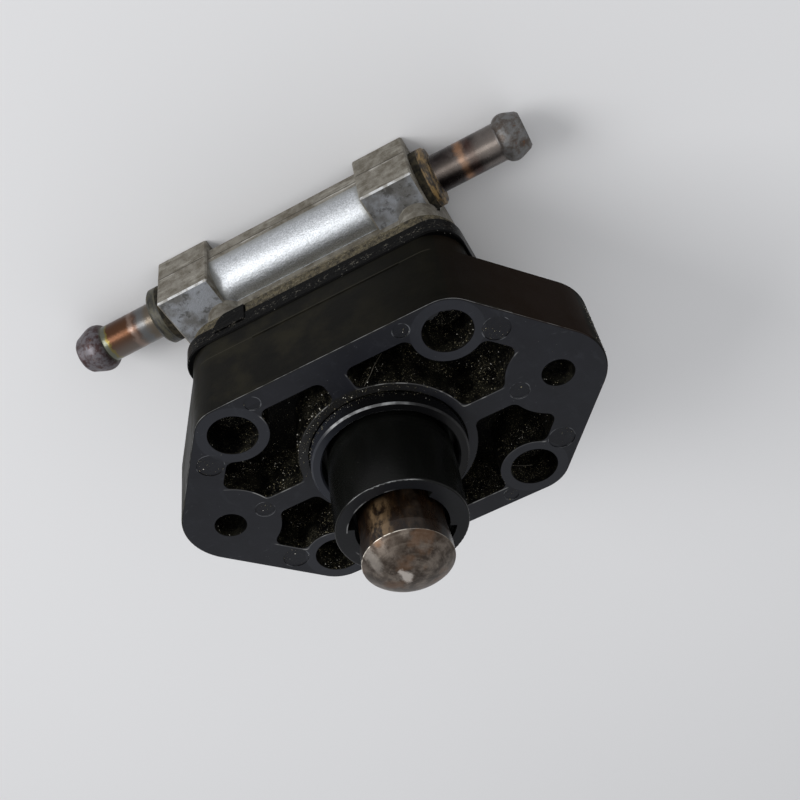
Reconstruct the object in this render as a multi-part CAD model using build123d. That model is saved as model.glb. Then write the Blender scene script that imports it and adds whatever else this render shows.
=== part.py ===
from build123d import *
import math
import os

# Outboard fuel pump: a cam pushes the plunger in, and a rubber diaphragm under it moves the fuel.
# Frame, in millimetres: the origin is the centre of the mounting face, midway between the two
# mounting holes. +X runs along the hose nipples, +Y points to the nipple bar, and +Z runs along
# the plunger, out of the mounting face. The pump stands on the back of its valve body.

# Mounting flange and collar, moulded in one piece
hole_pitch = 72.0
mount_hole_r = 3.25
ear_round_x = 34.0
ear_round_r = 11.4
screw_x = 22.55
screw_y = 20.4
corner_r = 7.3
flange_t = 15.4
rear_block_t = 4.6
edge_round = 0.35
ridge_x = (-13.0, 18.5)
ridge_proud = 0.12
ridge_half_h = 0.2
collar_r = 12.35
collar_h = 20.0
collar_groove_w = 0.95
collar_groove_floor = -2.0
step_ring_w = 2.05
step_ring_h = 3.2
seal_gap = 0.3
seal_gap_depth = 1.0
root_relief = 0.3
root_relief_h = 0.1
bore_r = 10.04
bore_floor = -8.0
land_half_angle = 31.0
land_guide_h = 3.4
land_mouth_gap = 0.35

# Hollows in the mounting face
face_ring_w = 2.15
rib_w = 4.8
pocket_side_wall = 5.0
pocket_slant_wall = 7.0
pocket_depth = 11.0
pocket_corner_r = 1.8
pocket_boss_r = 6.9
ear_boss_r = 10.2
head_hole_r = 4.82
head_hole_depth = 11.2
mark_depth = 0.15
small_mark = (15.4, 25.1, 1.6)
large_mark = (30.3, 16.1, 2.7)
ear_mark = (28.0, 0.0, 2.0)

# Plunger and what moves with it
plunger_r = 8.0
plunger_wall = 1.2
plunger_low = 7.0
head_step = 0.4
flare_z = (22.0, 25.3)
shoulder_z = 27.9
dome_h = 3.6
plunger_roof_z = 27.0
lug_h = 5.0
stroke = 6.0
running_gap = 0.08
stop_gap = 0.1
pin_z = 11.0
pin_r = 1.25
pin_half_len = 9.6
pin_slot_gap = 0.1
pin_seat_r = 6.2
pin_seat_t = 1.0
rod_r = 2.5
rod_top_z = 16.0
rod_gap = 0.05
rod_collar_r = 3.5
rod_collar_h = 1.0
rod_past_nut = 0.5
nut_t = 2.7
nut_flats = 8.0

# Springs: mean radius, wire radius and turns; the plunger's spring stands under its wall
plunger_spring_wire = (0.55, 5.0)
diaphragm_spring_size = (5.2, 0.6, 4.0)
valve_spring_size = (2.6, 0.2, 5.0)

# Rod seal, its retaining washer and the space above the diaphragm
seal_r = 5.5
seal_t = 3.5
spring_seat_r = 9.6
spring_seat_hole_r = 3.2
spring_seat_t = 1.0
stop_boss_r = 6.0
stop_boss_clear = 0.5
cavity_r = 20.6
cavity_depth = 5.0

# Diaphragm
rim_t = 4.0
rim_proud_x = 0.6
rim_proud_y = 0.3
rim_corner_r = 6.1
web_t = 1.2
web_hole_gap = 0.3
rest_lift = 2.2
fold_foot_r = 12.9
fold_r = 3.0
disc_r = 11.9
disc_t = 1.2
tab_x = (-21.2, -20.2, -19.0, -14.4)
tab_drop = (1.6, 2.5)
tab_y = (25.2, 28.2)
tab_gap = 0.2

# Valve body, one aluminium casting
cast_flange_t = 3.0
box_y = (-25.0, 22.6)
box_back_z = -49.9
box_corner_r = 5.0
screw_boss_r = 4.2
screw_boss_end_z = -40.0
foot_r = 4.0
chamber_depth = 7.0
valve_x = 13.0
valve_bore_r = 6.5
valve_bore_depth = 5.0
outlet_bore_depth = 8.5
plenum_r = 5.2
plenum_sump = 0.6
passage_r = 2.8

# Nipple bar, along X on the +Y side
bar_y = 23.65
bar_z = -43.65
bar_r = 6.5
strip_back = 4.25
block_half = 7.5
block_front = 7.25
block_bevel = 0.35
spot_face_r = 6.8
left_block_x = (-33.2, -21.0)
right_block_x = (14.5, 26.1)

# Hose nipples: steel tubes with a bead and a shoulder
tube_r = 4.0
tube_wall = 1.2
tube_depth = 10.0
shoulder_r = 6.3
shoulder_bevel = 0.6
right_shoulder = (27.7, 29.4)
right_tip = 49.3
right_bead = (5.6, 4.95)
left_shoulder = (34.9, 37.3)
left_tip = 57.0
left_bead = (6.6, 5.15)
bead_peak = 0.26
tip_chamfer = 0.5
nipple_seal_gap = 0.1

# Valve discs, seats and cages
seat_t = 1.6
seat_hole_r = 3.4
valve_disc_r = 4.9
valve_disc_t = 1.0
valve_lift = 1.0
cage_h = 6.0
cage_r = 6.0
cage_wall = 0.6
cage_clear = 0.2
cage_window_w = 5.0
cage_window_h = 3.4
cage_stem_r = 1.6

# Assembly screws
thread_r = 2.45
thread_gap = 0.05
screw_len = 25.0
tapped_end_z = -38.0
head_r = 4.25
head_h = 3.4
head_round = 0.5
washer_r = 4.4
washer_t = 1.0
washer_gap = 0.15
clear_r = 2.75
recess_w = 1.0
recess_len = 4.6
recess_depth = 1.8

# Radii that follow from the sizes above
collar_groove_r = collar_r + collar_groove_w
step_ring_r = collar_groove_r + step_ring_w
face_ring_r = step_ring_r + face_ring_w
plunger_head_r = plunger_r + head_step
land_mouth_r = plunger_head_r + land_mouth_gap
plunger_spring_size = (plunger_r - plunger_wall / 2, *plunger_spring_wire)

# Levels along the plunger axis that follow from the sizes above
step_z = -flange_t
body_back_z = step_z - rear_block_t
cast_face_z = body_back_z - rim_t
cast_flange_z = cast_face_z - cast_flange_t
chamber_floor_z = cast_face_z - chamber_depth
cavity_roof_z = body_back_z + cavity_depth
seal_floor_z = bore_floor - seal_t
rim_mid_z = body_back_z - rim_t / 2
web_mid_z = rim_mid_z + rest_lift
web_top_z = web_mid_z + web_t / 2
web_low_z = web_mid_z - web_t / 2
disc_top_z = web_top_z + disc_t
disc_low_z = web_low_z - disc_t
nut_low_z = disc_low_z - nut_t
foot_z = bar_z - block_half
plenum_floor_z = bar_z - passage_r - plenum_sump
side_y = screw_y + corner_r
spring_seat_top_z = bore_floor + spring_seat_t
pin_seat_top_z = pin_z + pin_r + pin_seat_t
screw_head_z = washer_t - head_hole_depth
inlet_seat_top_z = chamber_floor_z - valve_bore_depth + seat_t
outlet_seat_low_z = chamber_floor_z - seat_t


def disc(radius, low, high, x=0.0, y=0.0):
    """Upright cylinder from low to high."""
    return Pos(x, y, low) * extrude(Circle(radius), amount=high - low)


def ring(outer, inner, low, high, x=0.0, y=0.0):
    """Upright tube."""
    return disc(outer, low, high, x, y) - disc(inner, low, high, x, y)


def bar(radius, x_low, x_high):
    """Cylinder on the nipple axis."""
    start = Plane((x_low, bar_y, bar_z), z_dir=(1, 0, 0))
    return extrude(start * Circle(radius), amount=x_high - x_low)


def block(x_range, y_range, z_range):
    """Box between two corners."""
    size = [high - low for low, high in (x_range, y_range, z_range)]
    centre = [(high + low) / 2 for low, high in (x_range, y_range, z_range)]
    return Pos(*centre) * Box(*size)


def slab(outline, low, high):
    """Flat outline made solid from low to high."""
    return Pos(0, 0, low) * extrude(outline, amount=high - low)


def sectors(radius, low, high):
    """Two opposite sectors about the axis, centred on +X and -X."""
    reach = 2 * radius
    half = reach * math.tan(math.radians(land_half_angle))
    sector = make_face(Polyline((0, 0), (reach, -half), (reach, half), close=True))
    both = Sketch() + [sector, Rot(0, 0, 180) * sector]
    return slab(both & Circle(radius), low, high)


def coil(size, low, high, x=0.0):
    """Open wound spring that fits between two faces."""
    mean_r, wire_r, turns = size
    height = high - low - 2 * wire_r
    path = Pos(x, 0, low + wire_r) * Helix(pitch=height / turns, height=height, radius=mean_r)
    section = Plane(origin=path @ 0, z_dir=path % 0) * Circle(wire_r)
    return sweep(section, path=path, is_frenet=True)


def hexagon(flats, low, high):
    """Upright hexagonal prism."""
    return slab(RegularPolygon(flats / 2, 6, major_radius=False), low, high)


def corners():
    """Places of the four assembly screws."""
    return [(x, y) for x in (-screw_x, screw_x) for y in (-screw_y, screw_y)]


def four_ways(place):
    """The same small disc in all four quarters, or at both ends if it lies on the X axis."""
    x, y, radius = place
    spots = {(sx * x, sy * y) for sx in (-1, 1) for sy in (-1, 1)}
    return [disc(radius, -mark_depth, 1, px, py) for px, py in sorted(spots)]


def flange_outline():
    """Lines tangent to the four screw corners and the two ear ends."""
    rounds = [Pos(x, y) * Circle(corner_r) for x, y in corners()]
    rounds += [Pos(x, 0) * Circle(ear_round_r) for x in (-ear_round_x, ear_round_x)]
    return make_hull([edge for circle in rounds for edge in circle.edges()])


def block_outline():
    """Rounded rectangle round the four screws."""
    return RectangleRounded(2 * (screw_x + corner_r), 2 * side_y, corner_r)


def pocket_outline():
    """Four hollows between the ring, the ribs, the bosses and the outer wall."""
    across = screw_x - ear_round_x
    turn = math.atan2(screw_y, across)
    turn -= math.acos((ear_round_r - corner_r) / math.hypot(across, screw_y))
    reach = ear_round_x * math.cos(turn) + ear_round_r - pocket_slant_wall
    top = side_y - pocket_side_wall
    end_x = reach / math.cos(turn)
    top_x = (reach - top * math.sin(turn)) / math.cos(turn)
    upper = [(end_x, 0), (top_x, top), (-top_x, top), (-end_x, 0)]
    lower = [(-top_x, -top), (top_x, -top)]
    area = make_face(Polyline(*upper, *lower, close=True))
    area -= Circle(face_ring_r)
    area -= Rectangle(rib_w, 3 * side_y)
    area -= Rectangle(3 * ear_round_x, rib_w)
    area -= [Pos(x, y) * Circle(pocket_boss_r) for x, y in corners()]
    area -= [Pos(x, 0) * Circle(ear_boss_r) for x in (-hole_pitch / 2, hole_pitch / 2)]
    return [offset(offset(face, -pocket_corner_r), pocket_corner_r) for face in area.faces()]


def flange_blank():
    """Hexagonal flange, the block behind it and the parting ridges on its long sides."""
    plate = slab(flange_outline(), step_z, 0)
    plate = fillet(plate.faces().sort_by(Axis.Z)[-1].edges(), edge_round)
    ridge_z = (step_z - ridge_half_h, step_z + ridge_half_h)
    ridge = block(ridge_x, (side_y - 1, side_y + ridge_proud), ridge_z)
    return plate + slab(block_outline(), body_back_z, step_z) + ridge + Rot(0, 0, 180) * ridge


def collar():
    """Step ring and collar, with the groove between them and the narrow gap round them."""
    tube = disc(collar_r, step_ring_h, collar_h)
    tube = fillet(tube.faces().sort_by(Axis.Z)[-1].edges(), edge_round)
    tube += disc(collar_r - root_relief, collar_groove_floor, step_ring_h)
    step = ring(step_ring_r, collar_groove_r, 0, step_ring_h)
    step = chamfer(step.faces().sort_by(Axis.Z)[-1].edges(), edge_round)
    return tube + step


def bore():
    """Plunger bore with two guide lands, wider at the mouth, the seal pocket and the rod guide."""
    land_z = plunger_low + lug_h + stop_gap
    lands = sectors(bore_r + 1, land_z, collar_h + 1)
    lands -= disc(plunger_r + running_gap, land_z, collar_h + 1)
    lands -= disc(land_mouth_r, land_z + land_guide_h, collar_h + 1)
    hole = disc(bore_r, bore_floor, collar_h + 1) - lands
    hole += disc(seal_r, seal_floor_z, bore_floor)
    return hole + disc(rod_r + rod_gap, cavity_roof_z, seal_floor_z)


def diaphragm_cavity():
    """Space for the diaphragm's upper disc, with a ring that stops it."""
    space = disc(cavity_r, body_back_z, cavity_roof_z)
    inner = rod_collar_r + stop_boss_clear
    return space - ring(stop_boss_r, inner, disc_top_z + stop_gap, cavity_roof_z)


def pump_body():
    """Plastic flange, collar, bore and hollows."""
    solid = flange_blank()
    solid -= ring(collar_groove_r, collar_r - root_relief, collar_groove_floor, 1)
    solid += collar()
    gap_z = (-seal_gap_depth, root_relief_h)
    solid -= ring(step_ring_r + seal_gap, step_ring_r - root_relief, *gap_z)
    solid -= bore()
    solid -= diaphragm_cavity()
    solid -= [slab(face, -pocket_depth, 1) for face in pocket_outline()]
    solid -= [disc(mount_hole_r, step_z - 1, 1, x) for x in (-hole_pitch / 2, hole_pitch / 2)]
    solid -= [disc(head_hole_r, -head_hole_depth, 1, x, y) for x, y in corners()]
    solid -= [disc(clear_r, body_back_z - 1, 0, x, y) for x, y in corners()]
    solid -= four_ways(small_mark) + four_ways(large_mark) + four_ways(ear_mark)
    return solid


def plunger():
    """Steel cup with a flared, domed head, two retaining lugs and slots for the cross pin."""
    outline = Polyline((0, plunger_low), (plunger_r, plunger_low), (plunger_r, flare_z[0]))
    shoulder = (plunger_head_r, shoulder_z)
    outline += Polyline(outline @ 1, (plunger_head_r, flare_z[1]), shoulder)
    dome_r = (plunger_head_r**2 + dome_h**2) / (2 * dome_h)
    tip = (0, shoulder_z + dome_h)
    outline += RadiusArc(shoulder, tip, -dome_r)
    outline += Line(tip, (0, plunger_low))
    cup = revolve(Plane.XZ * make_face(outline), axis=Axis.Z)
    cup += sectors(bore_r - running_gap, plunger_low, plunger_low + lug_h)
    cup -= disc(plunger_r - plunger_wall, plunger_low, plunger_roof_z)
    slot_half = pin_r + pin_slot_gap
    slot_z = (pin_z - slot_half, pin_z + stroke + slot_half)
    return cup - block((-slot_half, slot_half), (-bore_r, bore_r), slot_z)


def plunger_spring():
    """Spring that pushes the plunger out."""
    return coil(plunger_spring_size, spring_seat_top_z, plunger_low)


def spring_seat():
    """Washer under the plunger spring that also holds the rod seal down."""
    return ring(spring_seat_r, spring_seat_hole_r, bore_floor, spring_seat_top_z)


def rod_seal():
    """Rubber seal round the rod."""
    return ring(seal_r, rod_r + rod_gap, seal_floor_z, bore_floor)


def cross_pin():
    """Pin across the rod that the plunger's slots pull on."""
    start = Plane((0, -pin_half_len, pin_z), z_dir=(0, 1, 0))
    pin = extrude(start * Circle(pin_r), amount=2 * pin_half_len)
    return chamfer(pin.edges(), pin_r / 5)


def pin_seat():
    """Washer on the cross pin, under the diaphragm spring."""
    return ring(pin_seat_r, rod_r + pin_slot_gap, pin_z + pin_r, pin_seat_top_z)


def diaphragm_spring():
    """Spring between the plunger's roof and the pin washer, which sets the fuel pressure."""
    return coil(diaphragm_spring_size, pin_seat_top_z, plunger_roof_z)


def diaphragm_rod():
    """Pull rod with a collar over the diaphragm and a hole for the cross pin."""
    rod = disc(rod_r, nut_low_z - rod_past_nut, rod_top_z)
    rod = chamfer(rod.edges(), pin_r / 4)
    rod += disc(rod_collar_r, disc_top_z, disc_top_z + rod_collar_h)
    start = Plane((0, -2 * rod_r, pin_z), z_dir=(0, 1, 0))
    return rod - extrude(start * Circle(pin_r), amount=4 * rod_r)


def upper_diaphragm_disc():
    """Steel disc on top of the diaphragm."""
    return ring(disc_r, rod_r, web_top_z, disc_top_z)


def lower_diaphragm_disc():
    """Steel disc under the diaphragm."""
    return ring(disc_r, rod_r, disc_low_z, web_low_z)


def rod_nut():
    """Nut that clamps both discs."""
    return hexagon(nut_flats, nut_low_z, disc_low_z) - disc(rod_r, nut_low_z, disc_low_z)


def tab(grow):
    """Tongue of the rim that fits a notch in the casting, larger all round by grow."""
    a, b, c, d = tab_x
    low, deep = (cast_face_z - drop - grow for drop in tab_drop)
    top = rim_mid_z
    sides = [(a - grow, top), (a - grow, cast_face_z), (b - grow, low), (c - grow, deep)]
    outline = Polyline(*sides, (d + grow, deep), (d + grow, top), close=True)
    face = Plane((0, tab_y[0] - grow, 0), x_dir=(1, 0, 0), z_dir=(0, -1, 0)) * make_face(outline)
    return extrude(face, amount=-(tab_y[1] - tab_y[0] + 2 * grow))


def diaphragm_fold():
    """Hanging fold that lets the centre rise and fall, turned about the axis."""
    half = web_t / 2
    inner, outer = fold_foot_r, fold_foot_r + 2 * fold_r
    outside = fold_r + half
    inside = fold_r - half
    middle = inner + fold_r
    foot = rim_mid_z - half
    far = cavity_r + 1
    lower = ThreePointArc((outer + half, foot), (middle, foot - outside), (inner - half, foot))
    upper = ThreePointArc((inner + half, foot), (middle, foot - inside), (outer - half, foot))
    eye = rod_r + web_hole_gap
    left = Polyline(lower @ 1, (inner - half, web_low_z), (eye, web_low_z), (eye, web_top_z))
    top = Polyline(left @ 1, (inner + half, web_top_z), upper @ 0)
    end = Polyline(upper @ 1, (outer - half, rim_mid_z + half), (far, rim_mid_z + half), (far, foot))
    outline = Line((far, foot), lower @ 0) + lower + left + top + upper + end
    face = Plane.XZ * make_face(outline)
    return revolve(face, axis=Axis.Z)


def diaphragm():
    """Rubber membrane with a thick clamped rim and its locating tab."""
    width = 2 * (screw_x + corner_r + rim_proud_x)
    depth = 2 * (side_y + rim_proud_y)
    rim = slab(RectangleRounded(width, depth, rim_corner_r), cast_face_z, body_back_z)
    rim = fillet(rim.faces().group_by(Axis.Z)[-1].edges(), edge_round)
    rim -= disc(cavity_r, cast_face_z, body_back_z)
    rim -= [disc(clear_r, cast_face_z, body_back_z, x, y) for x, y in corners()]
    return rim + tab(0) + diaphragm_fold()


def casting_blank():
    """Flange, box, screw bosses, feet and nipple bar before the coring."""
    solid = slab(block_outline(), cast_flange_z, cast_face_z)
    width = 2 * (screw_x + screw_boss_r)
    outline = Pos(0, sum(box_y) / 2) * RectangleRounded(width, box_y[1] - box_y[0], box_corner_r)
    solid += slab(outline, box_back_z, cast_flange_z)
    solid += [disc(screw_boss_r, screw_boss_end_z, cast_flange_z, x, y) for x, y in corners()]
    solid += [disc(foot_r, foot_z, box_back_z + 1, x, -screw_y) for x in (-screw_x, screw_x)]
    return solid + nipple_bar()


def nipple_bar():
    """Round-fronted bar between two square blocks."""
    span = (left_block_x[1] - 1, right_block_x[0] + 1)
    reach = (box_y[1] - 1, bar_y + bar_r)
    front = bar(bar_r, *span) & block(span, (0, 2 * bar_y), (bar_z, 0))
    solid = front + block(span, reach, (bar_z - strip_back, bar_z))
    sides = (bar_y - block_half, bar_y + block_half)
    for x_range in (left_block_x, right_block_x):
        square = block(x_range, sides, (foot_z, bar_z + block_front))
        solid += chamfer(square.edges(), block_bevel)
    return solid


def valve_pocket(x, bore_depths):
    """Stepped hole for one valve, with the passage from it to the nipple bar."""
    seat_depth, cage_depth = bore_depths
    hole = disc(valve_bore_r, chamber_floor_z - seat_depth, cast_face_z, x)
    hole += disc(cage_r + cage_clear, chamber_floor_z - cage_depth, cast_face_z, x)
    hole += disc(plenum_r, plenum_floor_z, cast_face_z, x)
    start = Plane((x, 0, bar_z), z_dir=(0, 1, 0))
    return hole + extrude(start * Circle(passage_r), amount=bar_y)


def nipple_socket(side, face_x):
    """Socket for a hose nipple and the passage from it to the valve, on the side given."""
    ends = sorted((side * valve_x, side * face_x))
    depth_ends = sorted((side * (face_x - tube_depth), side * (face_x + 1)))
    return bar(passage_r, *ends) + bar(tube_r, *depth_ends)


def valve_body():
    """Aluminium casting that holds both valves and both nipples."""
    solid = casting_blank()
    solid -= disc(cavity_r, chamber_floor_z, cast_face_z)
    solid -= valve_pocket(-valve_x, (valve_bore_depth, valve_bore_depth))
    solid -= valve_pocket(valve_x, (seat_t + cage_wall, outlet_bore_depth))
    solid -= bar(spot_face_r, right_block_x[1], 2 * right_block_x[1])
    solid -= nipple_socket(-1, -left_block_x[0])
    solid -= nipple_socket(1, right_block_x[1])
    solid -= [disc(thread_r + thread_gap, tapped_end_z, cast_face_z, x, y) for x, y in corners()]
    return solid - tab(tab_gap)


def nipple(side, face_x, shoulder, tip, bead):
    """Tube along the nipple axis, with its shoulder outside the block and a bead at the tip."""
    bead_len, bead_r = bead
    back = tip - bead_len
    peak = (back + bead_peak * bead_len, bead_r)
    inner = tube_r - tube_wall
    start = face_x - tube_depth
    near, far = shoulder
    foot = [(start, inner), (start, tube_r), (near, tube_r), (near, shoulder_r)]
    foot += [(far - shoulder_bevel, shoulder_r), (far, shoulder_r - shoulder_bevel), (far, tube_r)]
    lip = (tip - tip_chamfer, tube_r)
    outline = Polyline(*foot, (back, tube_r))
    outline += Spline((back, tube_r), peak, lip, tangents=[(1, 1.6), (1, -0.35)])
    outline += Polyline(lip, (tip, tube_r - tip_chamfer), (tip, inner), (start, inner))
    axis_plane = Plane((0, bar_y, bar_z), x_dir=(side, 0, 0), z_dir=(0, -side, 0))
    return revolve(axis_plane * make_face(outline), axis=Axis((0, bar_y, bar_z), (1, 0, 0)))


def inlet_nipple():
    """Nipple on the -X side."""
    return nipple(-1, -left_block_x[0], left_shoulder, left_tip, left_bead)


def outlet_nipple():
    """Nipple on the +X side."""
    return nipple(1, right_block_x[1], right_shoulder, right_tip, right_bead)


def nipple_seal(x_low, x_high):
    """Sealing ring between a nipple's shoulder and its block."""
    return bar(shoulder_r, x_low, x_high) - bar(tube_r + nipple_seal_gap, x_low, x_high)


def inlet_nipple_seal():
    """Seal on the -X side."""
    return nipple_seal(-left_shoulder[0], left_block_x[0])


def outlet_nipple_seal():
    """Seal on the +X side."""
    return nipple_seal(right_block_x[1], right_shoulder[0])


def valve_seat(x, low):
    """Ring that a valve disc closes on."""
    return ring(valve_bore_r, seat_hole_r, low, low + seat_t, x)


def valve_disc(x, low):
    """Flat disc of a check valve."""
    return disc(valve_disc_r, low, low + valve_disc_t, x)


def cage():
    """Open cap over a valve disc, built at the origin with its mouth down."""
    inner = cage_r - cage_wall
    roof = cage_h - cage_wall
    cap = disc(cage_r, 0, cage_h) - disc(inner, 0, roof)
    cap += ring(valve_bore_r, inner, 0, cage_wall)
    window_z = (roof - cage_window_h, roof)
    half = cage_window_w / 2
    cap -= block((-half, half), (-cage_r, cage_r), window_z)
    cap -= block((-cage_r, cage_r), (-half, half), window_z)
    stem_low = valve_disc_t + valve_lift + stop_gap
    return cap + disc(cage_stem_r, stem_low, cage_h)


def inlet_valve_seat():
    """Seat at the bottom of the inlet pocket."""
    return valve_seat(-valve_x, inlet_seat_top_z - seat_t)


def inlet_valve_disc():
    """Disc that lifts when fuel is drawn in."""
    return valve_disc(-valve_x, inlet_seat_top_z)


def inlet_valve_cage():
    """Cage over the inlet disc."""
    return Pos(-valve_x, 0, inlet_seat_top_z) * cage()


def inlet_valve_spring():
    """Light spring that closes the inlet disc."""
    low = inlet_seat_top_z + valve_disc_t
    return coil(valve_spring_size, low, inlet_seat_top_z + cage_h - cage_wall, -valve_x)


def outlet_valve_seat():
    """Seat at the mouth of the outlet pocket."""
    return valve_seat(valve_x, outlet_seat_low_z)


def outlet_valve_disc():
    """Disc that drops when fuel is pushed out."""
    return valve_disc(valve_x, outlet_seat_low_z - valve_disc_t)


def outlet_valve_cage():
    """Cage under the outlet disc."""
    return Pos(valve_x, 0, outlet_seat_low_z) * Rot(180, 0, 0) * cage()


def outlet_valve_spring():
    """Light spring that closes the outlet disc."""
    high = outlet_seat_low_z - valve_disc_t
    return coil(valve_spring_size, outlet_seat_low_z - cage_h + cage_wall, high, valve_x)


def assembly_screw():
    """Round-headed screw with a cross recess, built on the axis."""
    head = disc(head_r, screw_head_z, screw_head_z + head_h)
    head = fillet(head.faces().sort_by(Axis.Z)[-1].edges(), head_round)
    shank = disc(thread_r, screw_head_z - screw_len, screw_head_z)
    shank = chamfer(shank.faces().sort_by(Axis.Z)[0].edges(), head_round)
    top = screw_head_z + head_h
    sides = (-recess_w / 2, recess_w / 2)
    slot = block((-recess_len / 2, recess_len / 2), sides, (top - recess_depth, top))
    return head + shank - slot - Rot(0, 0, 90) * slot


def assembly_screws():
    """Four screws that clamp body, diaphragm and casting."""
    screw = assembly_screw()
    return Part() + [Pos(x, y) * screw for x, y in corners()]


def spring_washers():
    """Washers under the four screw heads."""
    low = -head_hole_depth
    rings = [ring(washer_r, thread_r + washer_gap, low, low + washer_t, x, y) for x, y in corners()]
    return Part() + rings


pieces = [
    pump_body,
    plunger,
    plunger_spring,
    spring_seat,
    rod_seal,
    cross_pin,
    pin_seat,
    diaphragm_spring,
    diaphragm_rod,
    upper_diaphragm_disc,
    diaphragm,
    lower_diaphragm_disc,
    rod_nut,
    valve_body,
    inlet_nipple,
    outlet_nipple,
    inlet_nipple_seal,
    outlet_nipple_seal,
    inlet_valve_seat,
    inlet_valve_disc,
    inlet_valve_cage,
    inlet_valve_spring,
    outlet_valve_seat,
    outlet_valve_disc,
    outlet_valve_cage,
    outlet_valve_spring,
    assembly_screws,
    spring_washers,
]

os.makedirs("parts", exist_ok=True)
for piece in pieces:
    export_step(piece(), f"parts/{piece.__name__}.step")
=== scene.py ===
import math
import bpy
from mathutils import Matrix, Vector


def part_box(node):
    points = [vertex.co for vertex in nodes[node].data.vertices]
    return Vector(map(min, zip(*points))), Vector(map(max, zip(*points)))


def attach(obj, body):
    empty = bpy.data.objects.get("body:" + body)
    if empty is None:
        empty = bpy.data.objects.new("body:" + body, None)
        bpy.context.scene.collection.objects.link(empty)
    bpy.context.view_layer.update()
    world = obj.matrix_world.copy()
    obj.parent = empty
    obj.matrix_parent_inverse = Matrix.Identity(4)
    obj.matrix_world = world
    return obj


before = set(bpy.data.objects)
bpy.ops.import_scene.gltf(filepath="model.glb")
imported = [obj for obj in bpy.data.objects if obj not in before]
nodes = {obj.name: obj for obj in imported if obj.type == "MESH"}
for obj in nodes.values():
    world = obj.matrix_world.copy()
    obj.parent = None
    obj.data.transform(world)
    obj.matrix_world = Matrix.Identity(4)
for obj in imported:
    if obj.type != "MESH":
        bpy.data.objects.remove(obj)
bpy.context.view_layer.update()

from types import SimpleNamespace

import bpy
import numpy as np
from mathutils import Matrix, Vector

MM = 0.001


def corners_of(node):
    """Lowest and highest corner of a solid's box, in millimetres."""
    low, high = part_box(node)
    return np.array(low) / MM, np.array(high) / MM


# Sizes of the pump in millimetres. The mounting face lies at z = 0, the plunger runs along z and
# the nipples along x. What the solids' boxes give is read from them.
outlet_low, outlet_high = corners_of("outlet_nipple")
screws_high = corners_of("assembly_screws")[1]

# Rings round the plunger. groove_r lies just inside the outer wall of the groove.
collar_top = corners_of("pump_body")[1][2]
bore_r = 10.04
groove_r = 13.2
step_ring_r = 15.35
face_ring_r = 17.5

# Outline of the flange
flat_y = 27.7
slant_angle = math.radians(39.3)
slant_reach = 37.7
ear_x = 34.0
ear_r = 11.4
ridge_line = (-15.65, -15.45)

# Holes, hollows and moulding marks in the face
screw_head_r = 4.25
screw_x = screws_high[0] - screw_head_r
screw_y = screws_high[1] - screw_head_r
head_hole_r = 4.82
screw_boss_r = 6.9
mount_x = 36.0
mount_hole_r = 3.25
ear_boss_r = 10.2
rib_half = 2.4
pocket_top_y = 22.7
pocket_slant = 30.7
pocket_floor = -11.0
pocket_corner = 1.2
round_marks = [(15.4, 25.1, 1.6), (30.3, 16.1, 2.7), (28.0, 0.0, 2.0)]
washer_mark = (mount_x, 0.0, 9.6)
mark_half = 0.09

# Rubber rim and casting
crumb_line = (-22.6, -21.2)
cast_face = -24.0
cast_bottom = corners_of("valve_body")[0][2]
bar_y = (outlet_low[1] + outlet_high[1]) / 2
bar_z = (outlet_low[2] + outlet_high[2]) / 2
bar_r = 6.5
block_front_z = bar_z + 7.25
left_block = -21.0
right_block = 14.5
blocks_middle = -3.2
mould_seam = (-44.7, -44.35)
seam_groove = (-45.1, -44.8)
crust_edge = -29.5
crust_edge_by_bar = -35.5

# Plunger and nipples
shoulder_z = 27.9
head_r = 8.4
tube_r = 4.0
inlet_bead = (-50.8, -50.2)
inlet_foot = (-37.8, -37.4)
outlet_bead = (43.2, 43.9)
outlet_foot = (29.3, 29.8)

# Dirt has slid towards this side, because the pump lay with it downwards; the painted highlights
# on the hollows' edges face this side too
piled_and_lit = np.array([0.457, 0.889, 0.0])


# Colours and shader nodes

def paint(red, green, blue):
    """Screen colour from 0 to 255 as the linear colour a shader takes."""
    def linear(level):
        level /= 255
        return level / 12.92 if level <= 0.04045 else ((level + 0.055) / 1.055) ** 2.4
    return (linear(red), linear(green), linear(blue), 1.0)


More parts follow.
